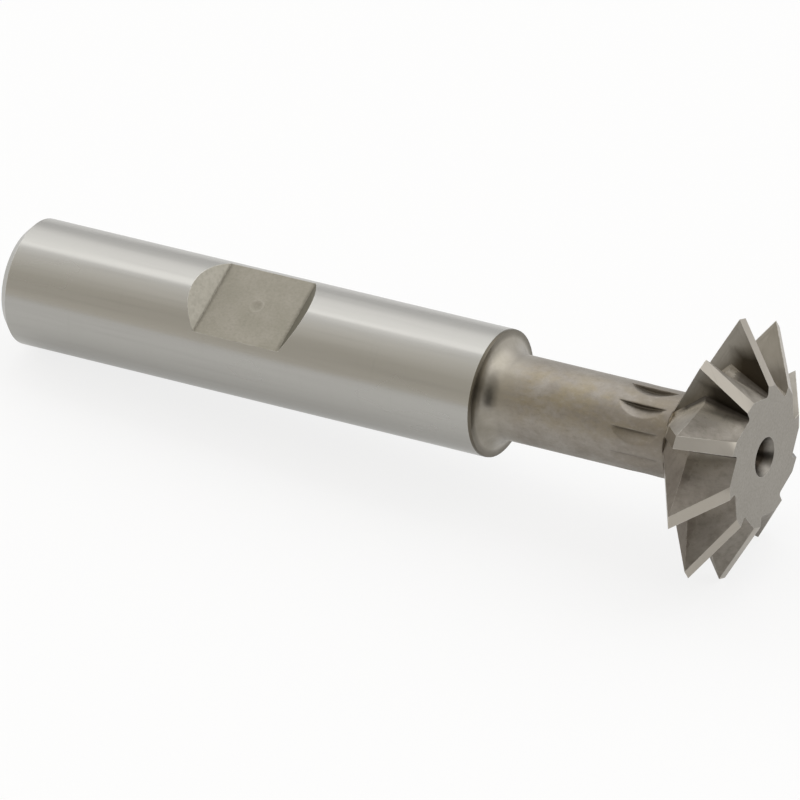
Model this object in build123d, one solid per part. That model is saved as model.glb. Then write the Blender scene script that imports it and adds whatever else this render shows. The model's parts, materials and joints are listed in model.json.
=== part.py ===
"""Double-angle milling cutter with a flatted shank, ground from one bar of tool steel.

The cutter is first built along the X axis, from the rear end of its shank to its nose, with
the cutting edges of one tooth in the XY plane. Angles about the axis grow counter-clockwise
as seen from the nose. It is then laid down as it comes to rest: on the rear rim of its shank,
on the point of one tooth and on the heel of the next.
"""
from build123d import *
from build123d.topology import SkipClean
from math import atan2, cos, degrees, radians, sin, tan
import os

# Shank, in millimetres and degrees
shank_diameter = 9.525
shank_length = 39.6875
rear_chamfer = 0.7

# Clamping flat on the shank, with a ramp at each end
flat_centre = 20.2
flat_length = 7.112
flat_depth = 1.27
flat_ramp_angle = 45.0
flat_clock = -1.6

# Unground shoulder, tapering from the end of the ground shank, and the neck behind the head
shoulder_diameter = 9.47
shoulder_length = 0.22
hollow_radius = 1.4
neck_diameter = 6.4

# Head
overall_length = 61.38
head_diameter = 19.9
nose_diameter = 10.8
included_angle = 60.0
tooth_count = 10

# Lands of the teeth, and their relief behind the cutting edges
land_width = 0.85
relief_angle = 6.0
relief_stop = 0.25

# Gashes between the teeth: where the foot of a rake face lies, and how it is rounded
front_root_nose_radius = 4.55
front_root_tip_radius = 5.15
back_root_tip_radius = 6.05
back_root_end_offset = 0.45
root_round_nose = 0.25
root_round_tip = 0.55
root_round_neck = 0.3

# Marks that the gashing wheel leaves on the neck, one behind each gash
wheel_mark_length = 3.9
wheel_mark_depth = 0.4
wheel_mark_offset = 2.5
wheel_mark_clock = 0.3
wheel_rim_angle = 78.0

# Centre holes in both ends
centre_mouth_diameter = 2.96
centre_pilot_diameter = 1.2
centre_pilot_depth = 1.5
centre_angle = 60.0
drill_point_angle = 118.0

# How far cuts reach past the surface that they open; the shares are of the cut's own length
clearance = 0.5
gash_reach = 25.0
floor_reach = 4.0
front_gash_past_tip = 0.5
back_gash_past_tip = 0.3
gash_past_end = 0.15
relief_past_land = 0.4

# What follows from the sizes above
shank_radius = shank_diameter / 2
shoulder_radius = shoulder_diameter / 2
neck_radius = neck_diameter / 2
head_radius = head_diameter / 2
nose_radius = nose_diameter / 2
flank_run = tan(radians(included_angle / 2))
tip_x = overall_length - (head_radius - nose_radius) * flank_run
back_x = tip_x - (head_radius - neck_radius) * flank_run
tooth_pitch = 360.0 / tooth_count


def make_blank():
    """The turned blank: shank, shoulder, neck and the double cone of the head."""
    shoulder_x = shank_length + shoulder_length
    hollow_top = (shoulder_x, neck_radius + hollow_radius)
    hollow_end = (shoulder_x + hollow_radius, neck_radius)
    shank = Polyline((0, 0), (0, shank_radius - rear_chamfer), (rear_chamfer, shank_radius),
                     (shank_length, shank_radius), (shoulder_x, shoulder_radius), hollow_top)
    hollow = RadiusArc(hollow_top, hollow_end, -hollow_radius)
    head = Polyline(hollow_end, (back_x, neck_radius), (tip_x, head_radius),
                    (overall_length, nose_radius), (overall_length, 0), (0, 0))
    return revolve(make_face(Curve() + shank + hollow + head), Axis.X)


def make_centre_hole(face_x, inward):
    """A drilled centre in an end face: a countersink, a pilot and the point of the drill."""
    mouth = centre_mouth_diameter / 2
    pilot = centre_pilot_diameter / 2
    slope = tan(radians(centre_angle / 2))
    sink = (mouth - pilot) / slope
    point = pilot / tan(radians(drill_point_angle / 2))
    steps = [(-clearance, 0), (-clearance, mouth + clearance * slope), (sink, pilot),
             (sink + centre_pilot_depth, pilot), (sink + centre_pilot_depth + point, 0)]
    outline = [(face_x + inward * depth, radius) for depth, radius in steps]
    return revolve(make_face(Polyline(outline, close=True)), Axis.X)


def make_flat_cutter():
    """What the milling cutter takes out of the shank for the clamping flat."""
    level = shank_radius - flat_depth
    top = shank_radius + clearance
    half = flat_length / 2
    ramp = (top - level) / tan(radians(flat_ramp_angle))
    outline = Polyline((flat_centre - half, level), (flat_centre + half, level),
                       (flat_centre + half + ramp, top), (flat_centre - half - ramp, top),
                       close=True)
    return Rot(X=flat_clock) * extrude(make_face(outline), top, both=True)


def heel_point(cone_radius):
    """Where the floor of a gash meets the land of the next tooth, across the axis."""
    angle = radians(tooth_pitch) - land_width / cone_radius
    return cone_radius * cos(angle), cone_radius * sin(angle)


def gash_section(x, root_radius, heel_y, heel_z, root_round):
    """A gash across the axis: down the rake face, round the root and up along the floor."""
    outer_rake = (root_radius + gash_reach, 0)
    outer_floor = (root_radius + (heel_y - root_radius) * floor_reach, heel_z * floor_reach)
    bend = FilletPolyline(outer_rake, (root_radius, 0), outer_floor, radius=root_round)
    across = Plane(origin=(x, 0, 0), x_dir=(0, 1, 0), z_dir=(1, 0, 0))
    return across * make_face(Curve() + bend + Line(outer_floor, outer_rake))


def ruled_gash(start, end, before, after):
    """A gash ruled through two sections and carried on past each by a share of its length."""
    def section(share):
        return gash_section(*[a + (b - a) * share for a, b in zip(start, end)])
    return loft([section(-before), section(1 + after)], ruled=True)


def make_gashes():
    """The front and the back cut of the gash whose rake face lies in the XY plane."""
    tip_heel = heel_point(head_radius)
    end_x = back_x + back_root_end_offset
    end_cone_radius = head_radius - (tip_x - end_x) / flank_run
    at_nose = (overall_length, front_root_nose_radius, *heel_point(nose_radius), root_round_nose)
    front_tip = (tip_x, front_root_tip_radius, *tip_heel, root_round_tip)
    back_tip = (tip_x, back_root_tip_radius, *tip_heel, root_round_tip)
    at_neck = (end_x, neck_radius, *heel_point(end_cone_radius), root_round_neck)
    return [ruled_gash(front_tip, at_nose, front_gash_past_tip, gash_past_end),
            ruled_gash(at_neck, back_tip, gash_past_end, back_gash_past_tip)]


def relief_cutter(edge_start, edge_end):
    """What is ground off behind one cutting edge, from edge_start towards edge_end."""
    along = Vector(*edge_end) - Vector(*edge_start)
    forward = Vector(0, 0, 1)
    side = Plane(origin=edge_start, x_dir=forward, z_dir=along)
    outward = 1 if side.y_dir.Y > 0 else -1
    drop = tan(radians(relief_angle))
    back = (1 + relief_past_land) * land_width
    outline = [(clearance, clearance * drop), (-back, -back * drop),
               (-back, clearance), (clearance, clearance)]
    face = side * make_face(Polyline([(t, outward * n) for t, n in outline], close=True))
    return extrude(face, along.length, dir=along)


def make_reliefs():
    """The relief behind the front and the back cutting edge of one tooth."""
    past = Vector(clearance * flank_run, clearance, 0)
    stop = neck_radius + relief_stop
    stop_x = back_x + relief_stop * flank_run
    front_start = (tip_x - past.X, head_radius + past.Y, 0)
    front_end = (overall_length + past.X, nose_radius - past.Y, 0)
    back_start = (tip_x + past.X, head_radius + past.Y, 0)
    return [relief_cutter(front_start, front_end), relief_cutter(back_start, (stop_x, stop, 0))]


def make_wheel_mark():
    """The rim of the gashing wheel where it just bites into the neck."""
    half = wheel_mark_length / 2
    wheel_radius = (half ** 2 + wheel_mark_depth ** 2) / (2 * wheel_mark_depth)
    width = neck_radius / 2
    centre = Pos(back_x - wheel_mark_offset, neck_radius - wheel_mark_depth + wheel_radius, 0)
    rim = Cone(wheel_radius, wheel_radius - width / tan(radians(wheel_rim_angle)), width,
               align=(Align.CENTER, Align.CENTER, Align.MIN))
    return Rot(X=wheel_mark_clock) * centre * rim


def divide_wall(cutter):
    """Divides the wall of the shank at both ends of the flat, so that each stretch is one face."""
    rear, front = [Plane.YZ.offset(flat_centre + way * flat_length / 2) for way in (-1, 1)]
    behind = split(cutter, bisect_by=rear, keep=Keep.BOTTOM)
    beside = split(split(cutter, bisect_by=rear), bisect_by=front, keep=Keep.BOTTOM)
    ahead = split(cutter, bisect_by=front)
    with SkipClean():
        return behind + beside + ahead


def make_cutter():
    """The whole cutter, along the X axis."""
    cutter = make_blank() - make_flat_cutter()
    cutter -= [make_centre_hole(0, 1), make_centre_hole(overall_length, -1)]
    tooth_cuts = [*make_gashes(), *make_reliefs(), make_wheel_mark()]
    for tooth in range(tooth_count):
        cutter -= [Rot(X=tooth * tooth_pitch) * cut for cut in tooth_cuts]
    return divide_wall(cutter)


def resting_place(cutter):
    """Where the cutter lies: on its rear rim and two of its teeth, centred over the origin."""
    heel = cutter.vertices().sort_by_distance((tip_x, *heel_point(head_radius)))[0]
    from_edge = atan2(head_radius - heel.Y, heel.Z)
    head_support = head_radius * cos(from_edge)
    tilt = degrees(atan2(head_support - shank_radius, tip_x - rear_chamfer))
    down = (tooth_count // 2 - 1) * tooth_pitch + degrees(from_edge)
    lying = Rot(Y=-tilt) * Rot(X=-90 - down)
    box = (lying * cutter).bounding_box()
    return Pos(-box.center().X, -box.center().Y, -box.min.Z) * lying


os.makedirs("parts", exist_ok=True)
cutter = make_cutter()
double_angle_cutter = resting_place(cutter) * cutter
export_step(double_angle_cutter, "parts/double_angle_cutter.step")
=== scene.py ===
"""Looks of the double-angle cutter: its finishes, the studio around it and the camera.

The cutter keeps the shape of its CAD node. A copy of that node's mesh is divided into zones by
where each face lies, and each zone has a finish of its own. Zones and finishes are laid out in
the cutter's own axis frame: X runs along the axis from the rear end of the shank to the nose,
and the cutting edges of one tooth, the first, lie in the XY plane.
"""
import bmesh
import bpy
import json
from math import atan2, cos, degrees, floor, pi, radians, sin, tan
from mathutils import Matrix, Vector


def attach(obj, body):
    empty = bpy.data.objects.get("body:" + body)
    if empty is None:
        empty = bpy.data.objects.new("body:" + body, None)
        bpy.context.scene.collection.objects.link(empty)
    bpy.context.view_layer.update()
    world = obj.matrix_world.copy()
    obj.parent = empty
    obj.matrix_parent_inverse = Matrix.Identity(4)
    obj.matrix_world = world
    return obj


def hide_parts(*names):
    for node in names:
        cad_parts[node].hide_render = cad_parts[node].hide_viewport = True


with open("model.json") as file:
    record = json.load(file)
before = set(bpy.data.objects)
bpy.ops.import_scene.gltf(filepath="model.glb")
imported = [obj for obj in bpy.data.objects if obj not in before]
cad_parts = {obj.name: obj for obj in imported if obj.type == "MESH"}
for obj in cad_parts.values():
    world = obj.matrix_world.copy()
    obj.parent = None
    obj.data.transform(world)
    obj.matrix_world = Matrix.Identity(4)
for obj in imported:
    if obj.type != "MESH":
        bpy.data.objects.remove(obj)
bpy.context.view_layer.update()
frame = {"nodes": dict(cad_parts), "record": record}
scene = bpy.context.scene

# Units
MM = 0.001

# Sizes of the cutter that the looks need, in millimetres and degrees, as in the part's source
shank_length = 39.6875
flat_centre = 20.2
flat_length = 7.112
flat_clock = -1.6
overall_length = 61.38
head_radius = 9.95
nose_radius = 5.4
shank_radius = 4.7625
neck_radius = 3.2
flank_angle = 30.0
tooth_count = 10

# Small round dent of a hardness test, on the flat, with a raised rim
dent_x = 20.3
dent_z = -0.25
dent_radius = 0.42
dent_bottom_radius = 0.168
dent_rim_radius = 0.525
dent_rim_width = 0.126

# Where the zones end, in millimetres and degrees. A facing is the cosine of the angle between a
# face's normal and the way that its zone faces
hole_radius = 1.6
hole_depth = 5.0
end_depth = 0.1
end_facing = 0.98
flat_reach = 6.0
ramp_facing = 0.3
sunk_depth = 0.05
gash_end_reach = 0.2
gash_end_facing = 0.9
land_depth = 0.2
land_facing = 0.95
rake_facing = 0.998
rake_slack_angle = 0.5

# Points of the mesh this near each other are joined, in metres, and an edge that turns by more
# than this angle looks sharp
weld_distance = 1e-7
sharp_angle = 24.0

# From tooth to tooth the finishes move on by a step, in millimetres, so that no two teeth are
# alike. Ahead of the tip the step is a millimetre longer, and behind it as much shorter
tooth_step = 20.0
front_step = tooth_step + 1

# Teeth whose rake faces carry painted shade, nearly black towards the nose, counted from the first
shaded_teeth = (0, 4, 6, 9)

# Gashes whose floors differ in painted light and shade, by how far beside the first rake face they
# lie: the middle of their range, and how far from it the tone has gone and how far it is still full
lit_gash = (3, 12, 7)
shaded_gashes = (30, 24, 14)
gashes_with_rake_shade = (-10.5, 20, 16)

# The gap between the gash behind the first tooth and the one ahead of it, measured likewise
gap_at_first_tooth = (-13, -9)

# Camera: where it stands round the cutter, how it is turned and what it looks at
camera_azimuth = -59.861
camera_elevation = 38.180
camera_roll = -2.203
camera_distance = 0.81695
camera_aim = (-0.000566, 0.001977, 0.002535)
camera_lens = 502.68
sensor_width = 36.0

# Light from all round, by the angle round the X axis, from the horizon behind the cutter (0) over
# the top (90) to the horizon at the camera's side (180). A long box of light stands above and
# behind the cutter and ends in a crisp edge; from there the light falls off and turns warmer.
# The world holds each level as a share of one that is a little above them all.
strongest = 2.1
light_levels = ((-180, 0.98), (-60, 0.82), (0, 0.77), (18, 0.89), (40, 1.45), (55, 1.52),
                (68, 1.64), (78, 2.08), (80.5, 1.05), (94, 1.01), (105, 0.95), (136, 0.77),
                (160, 0.84), (180, 0.98))
warm_light = (1.0, 0.95, 0.855)
warm_from = 78
warm_full = 125

# The studio is dark where the photographer stands: the share of light by the cosine of the angle
# from that side's middle
dark_azimuth = -50.0
dark_elevation = 14.0
dark_shares = ((0.0, 1.0), (0.39, 1.0), (0.52, 0.60), (0.66, 0.45), (0.84, 0.38),
               (0.93, 0.10), (1.0, 0.04))

# The light grows towards the nose, by the cosine of the angle from straight ahead of it. Straight
# ahead the angle round the axis means little, so the light there is even
gain_from = -0.44
gain_full = 0.75
nose_side_gain = 1.35
ahead_from = 0.86
ahead_level = 0.68

# Floor: how far it reaches in metres, how white it is, and how much of its shading shows to the
# camera and in the steel
floor_reach = 4.0
floor_white = 0.85
seen_shadow = 0.2
mirror_shadow = 0.5

# What follows from the sizes above
tooth_pitch = 360.0 / tooth_count
flank_run = tan(radians(flank_angle))
tip_x = overall_length - (head_radius - nose_radius) * flank_run
back_x = tip_x - (head_radius - neck_radius) * flank_run
flat_half = flat_length / 2


def axis_frame():
    """The matrix from the cutter's own axis frame to the row frame, both in metres."""
    mounts = {mount["name"]: mount for mount in frame["record"]["mounts"]}
    along = -Vector(mounts["shank"]["axis"])
    on_flat = Vector(mounts["clamping_flat"]["pos_m"])
    on_axis = Vector(mounts["shank"]["pos_m"])
    origin = on_axis + along * ((on_flat - on_axis).dot(along) - flat_centre * MM)
    flat_way = Vector(mounts["clamping_flat"]["axis"])
    outward = Matrix.Rotation(-radians(flat_clock), 3, along) @ flat_way
    turn = Matrix((along, outward, along.cross(outward))).transposed()
    return Matrix.Translation(origin) @ turn.to_4x4()


to_axis = axis_frame().inverted()
axis_way = axis_frame().to_3x3() @ Vector((1, 0, 0))


class Tree:
    """The node tree of a material or a world, with short ways to add nodes and feed them."""

    def __init__(self, owner):
        owner.use_nodes = True
        self.nodes = owner.node_tree.nodes
        self.links = owner.node_tree.links

    def feed(self, socket, value):
        """Links a socket to the socket that gives its value, or sets a value on it."""
        if isinstance(value, bpy.types.NodeSocket):
            self.links.new(value, socket)
        elif socket.type == "RGBA":
            socket.default_value = (*value, 1)
        else:
            socket.default_value = value

    def add(self, kind, inputs=None, **settings):
        """A new node with its settings, and with its inputs fed by name or by number."""
        made = self.nodes.new(kind)
        for name, value in settings.items():
            setattr(made, name, value)
        for name, value in (inputs or {}).items():
            self.feed(made.inputs[name], value)
        return made

    def math(self, operation, first, second=0.0):
        made = self.add("ShaderNodeMath", {0: first, 1: second}, operation=operation)
        return made.outputs[0]

    def plus(self, first, second):
        return self.math("ADD", first, second)

    def minus(self, first, second):
        return self.math("SUBTRACT", first, second)

    def times(self, first, second):
        return self.math("MULTIPLY", first, second)

    def apart(self, first, second):
        """How far apart two numbers are."""
        return self.math("ABSOLUTE", self.minus(first, second))

    def length(self, first, second):
        """The length of a vector with these two parts."""
        squares = [self.math("POWER", part, 2.0) for part in (first, second)]
        return self.math("SQRT", self.plus(*squares))

    def vector(self, operation, *values):
        """What comes of vectors: a number for a dot product, and otherwise a vector."""
        made = self.add("ShaderNodeVectorMath", dict(enumerate(values)), operation=operation)
        return made.outputs["Value" if operation == "DOT_PRODUCT" else "Vector"]

    def split(self, place):
        """The X, Y and Z of a place."""
        return self.add("ShaderNodeSeparateXYZ", {"Vector": place}).outputs[:]

    def spread(self, value, low, high, to_low=0.0, to_high=1.0, smooth=False):
        """Runs from to_low, where a value is low, to to_high, where it is high, and no further."""
        inputs = {"Value": value, "From Min": low, "From Max": high,
                  "To Min": to_low, "To Max": to_high}
        course = "SMOOTHSTEP" if smooth else "LINEAR"
        return self.add("ShaderNodeMapRange", inputs, interpolation_type=course).outputs[0]

    def ramp(self, value, stops):
        """The colour for a value from 0 to 1, between stops of a position and a colour."""
        made = self.add("ShaderNodeValToRGB", {0: value})
        elements = made.color_ramp.elements
        while len(elements) < len(stops):
            elements.new(1.0)
        for element, (position, colour) in zip(elements, stops):
            element.position = position
            element.color = (*colour, 1)
        return made.outputs[0]

    def mix(self, share, first, second):
        """A colour between two: the first where the share is 0, the second where it is 1."""
        made = self.add("ShaderNodeMix", data_type="RGBA")
        shown = {socket.name: socket for socket in made.inputs if socket.enabled}
        self.feed(shown["Factor"], share)
        self.feed(shown["A"], first)
        self.feed(shown["B"], second)
        return next(socket for socket in made.outputs if socket.enabled)

    def mix_shaders(self, share, first, second):
        """A shader between two: the first where the share is 0, the second where it is 1."""
        return self.add("ShaderNodeMixShader", {0: share, 1: first, 2: second}).outputs[0]


class Finish(Tree):
    """A material of the cutter, with what its finishes have in common."""

    def __init__(self, name, by_tooth=False):
        self.material = bpy.data.materials.new(name)
        super().__init__(self.material)
        self.place = self.tooth_place() if by_tooth else self.axis_place()

    def set(self, **values):
        """Feeds the shader's inputs, by names with underscores for their spaces."""
        shader = self.nodes["Principled BSDF"]
        for name, value in values.items():
            self.feed(shader.inputs[name.replace("_", " ")], value)

    def coat(self, colour, clouds, smoothest, roughest, metallic=1.0):
        """Sets the colour, and a roughness that varies with the clouds."""
        rough = self.spread(clouds, 0.3, 0.7, smoothest, roughest)
        self.set(Base_Color=colour, Metallic=metallic, Roughness=rough)

    def axis_place(self):
        """Where a point lies in the axis frame, in millimetres."""
        inputs = {"Vector": self.add("ShaderNodeTexCoord").outputs["Object"],
                  "Location": to_axis.translation / MM,
                  "Rotation": to_axis.to_euler(),
                  "Scale": [1 / MM] * 3}
        return self.add("ShaderNodeMapping", inputs).outputs[0]

    def tooth_place(self):
        """Where a point lies on its own tooth, in millimetres: along, across and beside it."""
        return self.add("ShaderNodeAttribute", attribute_name="grind").outputs["Vector"]

    def noise(self, scale, stretch=(1, 1, 1), detail=3.0, roughness=0.5):
        """Noise with so many features in a millimetre, and fewer where the stretch is small."""
        place = self.add("ShaderNodeMapping", {"Vector": self.place, "Scale": stretch})
        inputs = {"Vector": place.outputs[0], "Scale": scale, "Detail": detail,
                  "Roughness": roughness}
        return self.add("ShaderNodeTexNoise", inputs).outputs["Fac"]

    def bump(self, height, depth_mm, normal):
        """A normal that is roughened by a height from 0 to 1, as deep as this many millimetres."""
        inputs = {"Strength": 1.0, "Distance": depth_mm * MM, "Height": height, "Normal": normal}
        return self.add("ShaderNodeBump", inputs).outputs[0]

    def surface_normal(self):
        return self.add("ShaderNodeNewGeometry").outputs["Normal"]

    def round_the_axis(self):
        """The direction in which grinding lines run round the axis."""
        return self.vector("CROSS_PRODUCT", axis_way, self.surface_normal())

    def facing_round(self):
        """How squarely a point faces round the axis: 1 on a rake face, below 0 on a floor."""
        inputs = {"Vector": self.add("ShaderNodeTexCoord").outputs["Normal"],
                  "Rotation": to_axis.to_euler()}
        normal = self.add("ShaderNodeMapping", inputs, vector_type="VECTOR").outputs[0]
        sideways = self.vector("CROSS_PRODUCT", (1, 0, 0), self.axis_place())
        return self.vector("DOT_PRODUCT", self.vector("NORMALIZE", sideways), normal)

    def rounded_edges(self, radius_mm):
        """The normal of a surface whose edges are rounded."""
        return self.add("ShaderNodeBevel", {"Radius": radius_mm * MM}, samples=6).outputs[0]

    def worn_edges(self, radius_mm):
        """How near a point is to an edge, from 0 to 1, broken up by noise."""
        same_way = self.vector("DOT_PRODUCT", self.rounded_edges(radius_mm), self.surface_normal())
        near = self.spread(same_way, 0.995, 0.93)
        return self.times(near, self.spread(self.noise(3.0), 0.35, 0.6))

    def in_corner(self, reach_mm):
        """How deep in a corner a point lies, from 0 in the open to 1."""
        made = self.add("ShaderNodeAmbientOcclusion", {"Distance": reach_mm * MM},
                        samples=8, only_local=True)
        return self.spread(made.outputs["AO"], 0.95, 0.35)

    def in_gashes(self, gashes, least=0.0, most=1.0):
        """Most in a range of gashes and least beyond it, for a finish by tooth."""
        middle, gone, full = gashes
        beside = self.split(self.place)[2]
        return self.spread(self.apart(beside, middle), gone, full, least, most)

    def by_first_tooth(self, behind, ahead):
        """One number up to the gash behind the first tooth, and another from the next on."""
        return self.spread(self.split(self.place)[2], *gap_at_first_tooth, behind, ahead)


def ground_shank():
    """Fine grinding lines round the shank, with faint smudges and bright worn edges."""
    skin = Finish("ground_shank")
    dark_line = (0.33, 0.32, 0.30)
    smudge = (0.34, 0.33, 0.312)
    worn = (0.56, 0.55, 0.52)
    lines = skin.noise(9.0, stretch=(1, 0.02, 0.02), detail=4)
    clouds = skin.noise(0.25, stretch=(0.4, 1, 1))
    rubbed = skin.noise(2.6, stretch=(0.03, 1, 1))
    colour = skin.mix(clouds, (0.40, 0.393, 0.369), (0.42, 0.413, 0.388))
    colour = skin.mix(skin.spread(lines, 0.62, 0.75, 0, 0.25), colour, dark_line)
    colour = skin.mix(skin.spread(rubbed, 0.50, 0.70, 0, 0.22), colour, smudge)
    colour = skin.mix(skin.worn_edges(0.12), colour, worn)
    skin.coat(colour, clouds, 0.24, 0.28)
    skin.set(Anisotropic=0.75, Anisotropic_Rotation=0.25, Tangent=skin.round_the_axis())
    skin.set(Normal=skin.bump(lines, 0.0004, skin.rounded_edges(0.06)))
    return skin.material


def flat_dent(skin, x, z):
    """The bottom of the dent on the flat and the rim round it, each from 0 to 1."""
    away = skin.length(skin.minus(x, dent_x), skin.minus(z, dent_z))
    bottom = skin.spread(away, dent_radius, dent_bottom_radius)
    rim = skin.spread(skin.apart(away, dent_rim_radius), dent_rim_width, 0.0)
    return bottom, rim


def milled_flat():
    """The clamping flat: matt, with painted shade along the feet of its ramps and a small dent.

    The ramp towards the nose has painted shade, much darker than the one towards the rear.
    """
    skin = Finish("milled_flat")
    speck = (0.23, 0.215, 0.18)
    corner_shade = (0.14, 0.128, 0.10)
    front_ramp_shade = (0.17, 0.16, 0.125)
    dent_shade = (0.20, 0.185, 0.15)
    dent_rim_highlight = (0.42, 0.40, 0.35)
    worn = (0.42, 0.405, 0.36)
    x, _, z = skin.split(skin.place)
    from_middle = skin.apart(x, flat_centre)
    grain = skin.noise(6.0, stretch=(0.8, 1, 1), detail=5, roughness=0.6)
    clouds = skin.noise(0.6, detail=4)
    colour = skin.mix(skin.spread(clouds, 0.35, 0.65), (0.315, 0.298, 0.250), (0.345, 0.325, 0.278))
    colour = skin.mix(skin.spread(grain, 0.55, 0.8, 0, 0.14), colour, speck)

    # Painted shade along the feet of the ramps
    from_foot = skin.plus(skin.apart(from_middle, flat_half), skin.times(skin.noise(2.0), 0.2))
    colour = skin.mix(skin.times(skin.spread(from_foot, 0.38, 0.1), 0.6), colour, corner_shade)

    # The ramps, the one towards the nose with painted shade
    pits = skin.spread(skin.noise(3.0, detail=4), 0.45, 0.65)
    rear_ramp = skin.mix(pits, (0.322, 0.305, 0.261), (0.287, 0.272, 0.232))
    ramps = skin.mix(skin.math("GREATER_THAN", x, flat_centre), rear_ramp, front_ramp_shade)
    on_ramp = skin.spread(from_middle, flat_half, flat_half + 0.1)
    colour = skin.mix(skin.times(on_ramp, 0.8), colour, ramps)

    # The dent: painted shade in its bottom and a painted highlight on its rim, and its shape as a
    # bump
    bottom, rim = flat_dent(skin, x, z)
    uneven = skin.spread(skin.noise(2.5), 0.4, 0.6, 0.1, 0.45)
    colour = skin.mix(skin.times(bottom, 0.25), colour, dent_shade)
    colour = skin.mix(skin.times(rim, uneven), colour, dent_rim_highlight)
    pressed = skin.bump(skin.minus(skin.times(rim, 0.3), bottom), 0.035, skin.rounded_edges(0.05))

    colour = skin.mix(skin.worn_edges(0.08), colour, worn)
    rough = skin.minus(skin.spread(grain, 0.3, 0.7, 0.58, 0.7), skin.times(on_ramp, 0.15))
    skin.set(Base_Color=colour, Metallic=1.0, Roughness=rough)
    skin.set(Normal=skin.bump(grain, 0.0018, pressed))
    return skin.material


def rough_neck():
    """The neck and its shoulder, left as hardened: brown and straw tints and a fine matt grain.

    The hollow of the shoulder is paler and smoother, the ring beside the ground shank is dark,
    the corners have painted shade, and towards the head the neck is darker and browner.
    """
    skin = Finish("rough_neck")
    straw = (0.295, 0.256, 0.185)
    dark_brown = (0.205, 0.18, 0.152)
    dark_speck = (0.20, 0.18, 0.145)
    pale_speck = (0.37, 0.345, 0.305)
    ring = (0.10, 0.088, 0.066)
    corner_shade = (0.10, 0.086, 0.064)
    straw_way = (0, 0.95, 0.30)
    hollow_full, hollow_end = 40.6, 43.2
    browner_from, browner_full = 49.0, 53.0
    x = skin.split(skin.place)[0]
    clouds = skin.noise(0.4, detail=6, roughness=0.65)
    patches = skin.noise(0.9, stretch=(0.6, 1, 1), detail=5, roughness=0.6)
    specks = skin.noise(3.2, stretch=(0.55, 1, 1), detail=5, roughness=0.65)
    grain = skin.noise(6.0, detail=4)
    colour = skin.mix(skin.spread(clouds, 0.38, 0.62), (0.265, 0.240, 0.207), (0.335, 0.310, 0.276))

    # Tints and specks
    on_straw_side = skin.spread(skin.vector("DOT_PRODUCT", skin.place, straw_way), 1.9, 3.1)
    in_patches = skin.spread(patches, 0.42, 0.62, 0, 0.9)
    colour = skin.mix(skin.times(on_straw_side, in_patches), colour, straw)
    colour = skin.mix(skin.spread(x, browner_from, browner_full, 0, 0.55), colour, dark_brown)
    colour = skin.mix(skin.spread(specks, 0.52, 0.72, 0, 0.45), colour, dark_speck)
    colour = skin.mix(skin.spread(specks, 0.46, 0.30, 0, 0.35), colour, pale_speck)

    # The hollow, the ring behind it and painted shade in the corners
    in_hollow = skin.spread(x, hollow_end, hollow_full)
    mottled = skin.spread(patches, 0.35, 0.65)
    hollow = skin.mix(mottled, (0.298, 0.276, 0.232), (0.355, 0.328, 0.284))
    colour = skin.mix(in_hollow, colour, hollow)
    in_ring = skin.spread(x, shank_length + 0.30, shank_length + 0.20, 0, 0.88)
    colour = skin.mix(in_ring, colour, ring)
    colour = skin.mix(skin.times(skin.in_corner(0.6), 0.7), colour, corner_shade)
    rough = skin.minus(skin.spread(grain, 0.3, 0.7, 0.42, 0.52), skin.times(in_hollow, 0.14))
    skin.set(Base_Color=colour, Metallic=1.0, Roughness=rough)
    skin.set(Normal=skin.bump(grain, 0.003, skin.rounded_edges(0.18)))
    return skin.material


def gash_face(name, darker, lighter, root, root_share, root_reach):
    """A face of a gash: grinding lines, and towards the root painted shade on rakes, light on
    floors.
    """
    skin = Finish(name, by_tooth=True)
    dark_line = tuple(0.7 * part for part in darker)
    worn = (0.50, 0.48, 0.43)
    lines = skin.noise(5.0, stretch=(0.08, 1, 1), detail=4)
    clouds = skin.noise(0.5, detail=5, roughness=0.6)
    colour = skin.mix(skin.spread(clouds, 0.35, 0.65), darker, lighter)
    colour = skin.mix(skin.spread(lines, 0.5, 0.8, 0, 0.4), colour, dark_line)
    # Towards the root: painted shade on the rake faces, painted light on the floors
    colour = skin.mix(skin.times(skin.in_corner(root_reach), root_share), colour, root)
    colour = skin.mix(skin.worn_edges(0.10), colour, worn)
    skin.set(Normal=skin.bump(lines, 0.002, skin.rounded_edges(0.04)))
    return skin, clouds, colour


def rake_face(name, darker, lighter):
    """A rake face, with dark brown painted shade towards the root."""
    dark_brown = (0.10, 0.085, 0.06)
    return gash_face(name, darker, lighter, root=dark_brown, root_share=0.5, root_reach=1.5)


def ground_rake():
    """The rake faces of most teeth."""
    skin, clouds, colour = rake_face("ground_rake", (0.26, 0.241, 0.208), (0.31, 0.29, 0.256))
    skin.coat(colour, clouds, 0.30, 0.38)
    return skin.material


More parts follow.
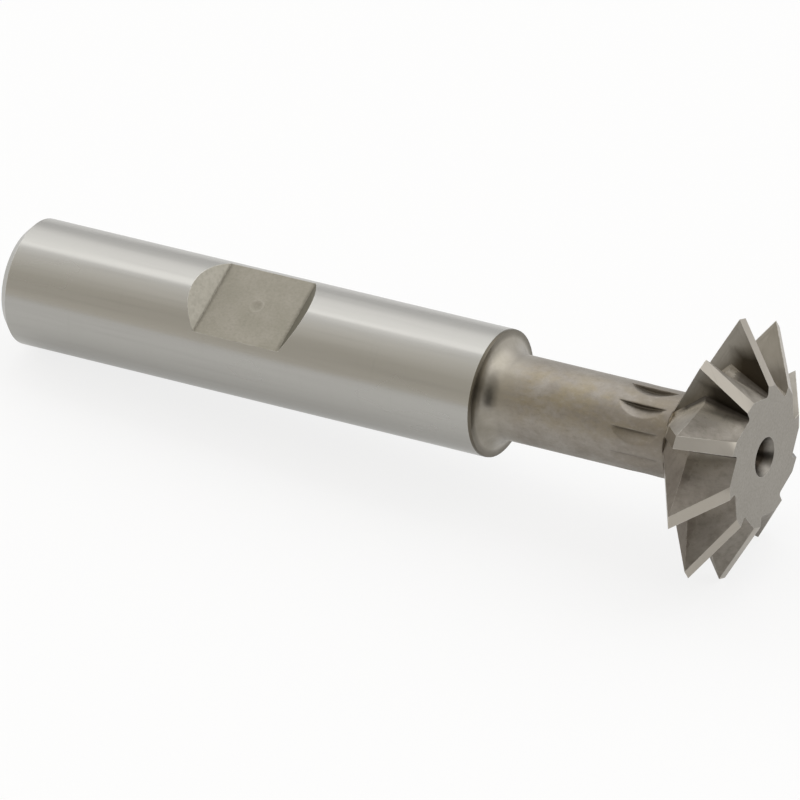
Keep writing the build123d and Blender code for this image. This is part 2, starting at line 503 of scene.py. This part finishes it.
def rake_with_painted_shade():
    """Rake faces with painted shade, nearly black, ahead of the tip and in the root near it.

    The painted shade has a ragged edge, and begins a little below the point of the tooth.
    """
    skin, clouds, colour = rake_face("rake_with_painted_shade", (0.25, 0.232, 0.20), (0.30, 0.282, 0.25))
    painted_root_shade = (0.035, 0.028, 0.018)
    painted_shade = (0.046, 0.037, 0.026)
    unshaded_radius, shaded_radius = 8.75, 7.75
    x, y, z = skin.split(skin.axis_place())
    ragged = skin.times(skin.noise(1.2, detail=5), 0.5)
    forward = skin.plus(x, ragged)

    # Painted shade along the root
    near_nose = skin.spread(forward, tip_x - 1.2, tip_x + 0.6, 0, 0.9)
    colour = skin.mix(skin.times(skin.in_corner(1.5), near_nose), colour, painted_root_shade)

    # Painted shade ahead of the tip, standing in for a dark reflection
    ahead = skin.spread(forward, tip_x - 0.55, tip_x + 0.7, 0, 0.94)
    lowered = skin.plus(skin.length(y, z), skin.by_first_tooth(0.5, 0))
    below_point = skin.spread(skin.plus(lowered, ragged), unshaded_radius, shaded_radius)
    colour = skin.mix(skin.math("MINIMUM", ahead, below_point), colour, painted_shade)
    skin.coat(colour, clouds, 0.32, 0.42)
    return skin.material


def ground_floor():
    """The floors of the gashes: matt and hardened, with scuffs, and painted light towards the root.

    One gash has painted light, and others have painted brown shade, mostly behind the tip. Painted
    shade lies beside the rake faces ahead of the tip, and as a dark line along the bend of the
    root.
    """
    # Painted light towards the root, paler deep in the corners
    skin, clouds, colour = gash_face("ground_floor", (0.225, 0.203, 0.172), (0.285, 0.262, 0.228),
                                     root=(0.74, 0.68, 0.58), root_share=0.9, root_reach=2.0)
    painted_light_tone = (0.70, 0.645, 0.55)
    dark_scuff = (0.11, 0.092, 0.07)
    pale_scuff = (0.40, 0.37, 0.325)
    stain_and_shade = (0.10, 0.072, 0.053)
    painted_shade = (0.055, 0.044, 0.032)
    root_bend_shade = (0.035, 0.028, 0.02)
    rake_plane_slack = 0.1
    x = skin.split(skin.axis_place())[0]
    beside = skin.split(skin.place)[2]

    # Painted light in one gash, strongest deep in its corners
    painted_light = skin.times(skin.in_gashes(lit_gash, 0, 0.55), skin.in_corner(3.2))
    colour = skin.mix(painted_light, colour, painted_light_tone)

    # Scuffs
    scuffs = skin.noise(1.8, stretch=(1, 0.4, 1), detail=5, roughness=0.65)
    colour = skin.mix(skin.spread(scuffs, 0.50, 0.70, 0, 0.4), colour, dark_scuff)
    colour = skin.mix(skin.spread(scuffs, 0.46, 0.30, 0, 0.3), colour, pale_scuff)

    # Painted brown shade on some gashes, mostly behind the tip
    shade_by_tip = skin.spread(x, tip_x - 0.1, tip_x + 0.1, 0.42, 0.22)
    colour = skin.mix(skin.times(skin.in_gashes(shaded_gashes), shade_by_tip), colour, stain_and_shade)

    # Painted shade beside the rake faces ahead of the tip
    from_rake = skin.math("FLOORED_MODULO", skin.plus(beside, rake_plane_slack), front_step)
    ahead = skin.spread(x, tip_x - 0.4, tip_x + 0.4)
    beside_rake_shade = skin.times(skin.spread(from_rake, 0.35, 1.1, 0.85, 0), ahead)
    colour = skin.mix(skin.times(beside_rake_shade, skin.in_gashes(gashes_with_rake_shade, 0.3)), colour, painted_shade)

    # Painted shade as a dark line along the bend of the root
    past_neck = skin.spread(x, back_x + 0.3, back_x + 1.3, 0, 0.88)
    bend_shade = skin.times(skin.spread(skin.facing_round(), 0.25, 0.7), past_neck)
    colour = skin.mix(skin.times(bend_shade, skin.by_first_tooth(0.3, 1)), colour, root_bend_shade)
    skin.coat(colour, clouds, 0.5, 0.6, metallic=0.5)
    return skin.material


def ground_land():
    """The bright ground lands along the cutting edges."""
    skin = Finish("ground_land", by_tooth=True)
    dark_line = (0.29, 0.27, 0.23)
    worn = (0.58, 0.56, 0.51)
    lines = skin.noise(7.0, stretch=(0.06, 1, 1), detail=4)
    clouds = skin.noise(0.8)
    colour = skin.mix(clouds, (0.373, 0.342, 0.295), (0.413, 0.382, 0.335))
    colour = skin.mix(skin.spread(lines, 0.6, 0.8, 0, 0.4), colour, dark_line)
    colour = skin.mix(skin.worn_edges(0.08), colour, worn)
    skin.coat(colour, clouds, 0.28, 0.34)
    skin.set(Normal=skin.bump(lines, 0.001, skin.rounded_edges(0.03)))
    return skin.material


def turned_face():
    """The faces at the nose and at the rear end: faint rings from turning, and a few stains."""
    skin = Finish("turned_face")
    dark_ring = (0.26, 0.245, 0.21)
    stain_and_shade = (0.20, 0.186, 0.155)
    pale_speck = (0.38, 0.36, 0.322)
    worn = (0.48, 0.465, 0.42)
    _, y, z = skin.split(skin.place)
    ring_inputs = {"W": skin.length(y, z), "Scale": 6.0, "Detail": 4.0}
    rings = skin.add("ShaderNodeTexNoise", ring_inputs, noise_dimensions="1D").outputs["Fac"]
    clouds = skin.noise(0.6, detail=5, roughness=0.6)
    grain = skin.noise(5.0, detail=5, roughness=0.65)
    colour = skin.mix(skin.spread(clouds, 0.35, 0.65), (0.285, 0.266, 0.234), (0.32, 0.30, 0.268))
    colour = skin.mix(skin.spread(rings, 0.55, 0.8, 0, 0.4), colour, dark_ring)
    colour = skin.mix(skin.spread(grain, 0.50, 0.75, 0, 0.5), colour, stain_and_shade)
    colour = skin.mix(skin.spread(grain, 0.46, 0.30, 0, 0.4), colour, pale_speck)
    colour = skin.mix(skin.worn_edges(0.10), colour, worn)
    skin.coat(colour, clouds, 0.36, 0.44)
    skin.set(Normal=skin.bump(rings, 0.0015, skin.rounded_edges(0.04)))
    return skin.material


def drilled_hole():
    """The centre holes: dull at the mouth, and nearly black with painted shade inside."""
    skin = Finish("drilled_hole")
    painted_shade = (0.04, 0.032, 0.024)
    middle = overall_length / 2
    clouds = skin.noise(1.5, detail=4)
    from_middle = skin.apart(skin.split(skin.place)[0], middle)
    ragged = skin.plus(from_middle, skin.times(clouds, 0.5))
    colour = skin.mix(clouds, (0.17, 0.157, 0.137), (0.25, 0.234, 0.21))
    # Painted shade deep inside the hole
    colour = skin.mix(skin.spread(ragged, middle + 0.05, middle - 0.45), colour, painted_shade)
    skin.coat(colour, clouds, 0.28, 0.42)
    skin.set(Normal=skin.rounded_edges(0.04))
    return skin.material


# Zones of the surface and the finish of each
FINISHES = {"shank": ground_shank, "flat": milled_flat, "neck": rough_neck, "rake": ground_rake,
            "rake_with_painted_shade": rake_with_painted_shade, "floor": ground_floor, "land": ground_land,
            "face": turned_face, "hole": drilled_hole}
ZONES = list(FINISHES)


def zone_of(centre, normal):
    """Which zone a face belongs to, from its centre in millimetres and its normal."""
    x = centre.x
    radius = (centre.y ** 2 + centre.z ** 2) ** 0.5
    from_end = min(x, overall_length - x)
    if radius < hole_radius and from_end < hole_depth and abs(normal.x) < end_facing:
        return "hole"
    if from_end < end_depth and abs(normal.x) > end_facing:
        return "face"
    if x < shank_length:
        on_flat = radius < shank_radius - sunk_depth or abs(normal.x) > ramp_facing
        return "flat" if on_flat and abs(x - flat_centre) < flat_reach else "shank"
    in_gash = radius < neck_radius - sunk_depth or normal.x > gash_end_facing
    if x < back_x and not (in_gash and x > back_x - gash_end_reach):
        return "neck"
    return zone_of_head(centre, normal, radius)


def zone_of_head(centre, normal, radius):
    """Which zone of the head a face belongs to: a land, or a rake face or floor of a gash."""
    way = 1 if centre.x > tip_x else -1
    tilt = radians(flank_angle)
    outward = (normal.y * centre.y + normal.z * centre.z) / radius
    land_way = way * normal.x * cos(tilt) + outward * sin(tilt)
    below_cone = (head_radius - abs(centre.x - tip_x) / flank_run - radius) * sin(tilt)
    if land_way > land_facing and below_cone < land_depth:
        return "land"
    rake_way = (normal.z * centre.y - normal.y * centre.z) / radius
    if rake_way < rake_facing:
        return "floor"
    return "rake_with_painted_shade" if tooth_of(centre) % tooth_count in shaded_teeth else "rake"


def tooth_of(centre):
    """The number of the tooth whose gash a face of the head belongs to."""
    return floor((degrees(atan2(centre.z, centre.y)) + rake_slack_angle) / tooth_pitch)


def grind_place(point, centre):
    """Where a point lies on its own tooth: along the edge, across it and beside it."""
    tooth = tooth_of(centre)
    on_tooth = Matrix.Rotation(-radians(tooth * tooth_pitch), 3, "X") @ point
    way = 1 if centre.x > tip_x else -1
    beyond = way * (on_tooth.x - tip_x)
    tilt = radians(flank_angle)
    along = beyond * sin(tilt) - on_tooth.y * cos(tilt)
    across = beyond * cos(tilt) + on_tooth.y * sin(tilt)
    return Vector((along, across, on_tooth.z + (tooth_step + way) * tooth))


def make_cutter():
    """The cutter that shows: the CAD node's own mesh, divided into zones."""
    turn = to_axis.to_3x3()
    mesh = frame["nodes"]["double_angle_cutter"].data.copy()
    mesh.name = "cutter"
    work = bmesh.new()
    work.from_mesh(mesh)
    bmesh.ops.remove_doubles(work, verts=work.verts, dist=weld_distance)
    work.normal_update()
    grind = work.loops.layers.float_vector.new("grind")
    for face in work.faces:
        centre = to_axis @ face.calc_center_median() / MM
        face.smooth = True
        face.material_index = ZONES.index(zone_of(centre, turn @ face.normal))
        for loop in face.loops:
            loop[grind] = grind_place(to_axis @ loop.vert.co / MM, centre)
    for edge in work.edges:
        edge.smooth = edge.is_manifold and edge.calc_face_angle() < radians(sharp_angle)
    mesh.materials.clear()
    work.to_mesh(mesh)
    work.free()
    piece = bpy.data.objects.new("cutter", mesh)
    scene.collection.objects.link(piece)
    level = piece.modifiers.new("even_shading", "WEIGHTED_NORMAL")
    level.keep_sharp = True
    return piece


def towards(azimuth, elevation):
    """The unit vector that points so many degrees round and up from the origin."""
    turn = radians(azimuth)
    rise = radians(elevation)
    return Vector((cos(rise) * cos(turn), cos(rise) * sin(turn), sin(rise)))


def looking(place, target, roll):
    """The matrix of a camera at a place that looks at a target, turned by roll degrees."""
    back = (place - target).normalized()
    level = Vector((0, 0, 1)).cross(back).normalized()
    right = level * cos(radians(roll)) + back.cross(level) * sin(radians(roll))
    turn = Matrix((right, back.cross(right), back)).transposed()
    return Matrix.Translation(place) @ turn.to_4x4()


def make_camera():
    """The camera at the photo's viewing angle."""
    camera = bpy.data.objects.new("camera", bpy.data.cameras.new("camera"))
    scene.collection.objects.link(camera)
    camera.data.lens = camera_lens
    camera.data.sensor_width = sensor_width
    aim = Vector(camera_aim)
    place = aim + towards(camera_azimuth, camera_elevation) * camera_distance
    camera.matrix_world = looking(place, aim, camera_roll)
    scene.camera = camera


def light_stops():
    """Stops of the light round the X axis: positions from 0 to 1, and colours."""
    stops = []
    for degree, level in light_levels:
        warmth = min(max((degree - warm_from) / (warm_full - warm_from), 0), 1)
        tint = [1 + (part - 1) * warmth for part in warm_light]
        stops.append(((degree + 180) / 360, [level / strongest * part for part in tint]))
    return stops


def make_world():
    """Soft light from all round, by the angle round the X axis, and dark on the camera's side."""
    world = bpy.data.worlds.new("studio")
    tree = Tree(world)
    way = tree.add("ShaderNodeTexCoord").outputs["Generated"]
    x, y, z = tree.split(way)
    around = tree.ramp(tree.spread(tree.math("ARCTAN2", z, y), -pi, pi), light_stops())
    ahead = tree.spread(x, ahead_from, 1.0, smooth=True)
    colour = tree.mix(ahead, around, [ahead_level / strongest] * 3)
    to_dark_side = tree.vector("DOT_PRODUCT", way, towards(dark_azimuth, dark_elevation))
    shares = tree.ramp(to_dark_side, [(position, [share] * 3) for position, share in dark_shares])
    gain = tree.spread(x, gain_from, gain_full, strongest, strongest * nose_side_gain)
    background = tree.nodes["Background"]
    tree.feed(background.inputs["Color"], colour)
    tree.feed(background.inputs["Strength"], tree.times(shares, gain))
    scene.world = world


def make_floor():
    """A white floor that keeps a soft shadow of the cutter.

    The camera and the steel see it white, darkened by a share of its shading. To all other rays
    it is a plain matt floor.
    """
    mesh = bpy.data.meshes.new("floor")
    sides = ((-1, -1), (1, -1), (1, 1), (-1, 1))
    corners = [(x * floor_reach, y * floor_reach, 0) for x, y in sides]
    mesh.from_pydata(corners, [], [(0, 1, 2, 3)])
    ground = bpy.data.objects.new("floor", mesh)
    scene.collection.objects.link(ground)
    material = bpy.data.materials.new("floor")
    tree = Tree(material)
    tree.nodes.remove(tree.nodes["Principled BSDF"])
    rays = tree.add("ShaderNodeLightPath").outputs
    mirrored = tree.math("MAXIMUM", rays["Is Glossy Ray"], rays["Is Transmission Ray"])
    seen = tree.math("MAXIMUM", rays["Is Camera Ray"], mirrored)
    white = tree.add("ShaderNodeEmission").outputs[0]
    diffuse = tree.add("ShaderNodeBsdfDiffuse", {"Color": [floor_white] * 3}).outputs[0]
    shading = tree.plus(tree.times(mirrored, mirror_shadow - seen_shadow), seen_shadow)
    shown = tree.mix_shaders(shading, white, diffuse)
    surface = tree.mix_shaders(seen, diffuse, shown)
    tree.feed(tree.nodes["Material Output"].inputs["Surface"], surface)
    mesh.materials.append(material)


cutter = make_cutter()
for make_finish in FINISHES.values():
    cutter.data.materials.append(make_finish())
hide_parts("double_angle_cutter")
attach(cutter, "root")

make_world()
make_floor()
make_camera()
scene.view_settings.view_transform = "Standard"
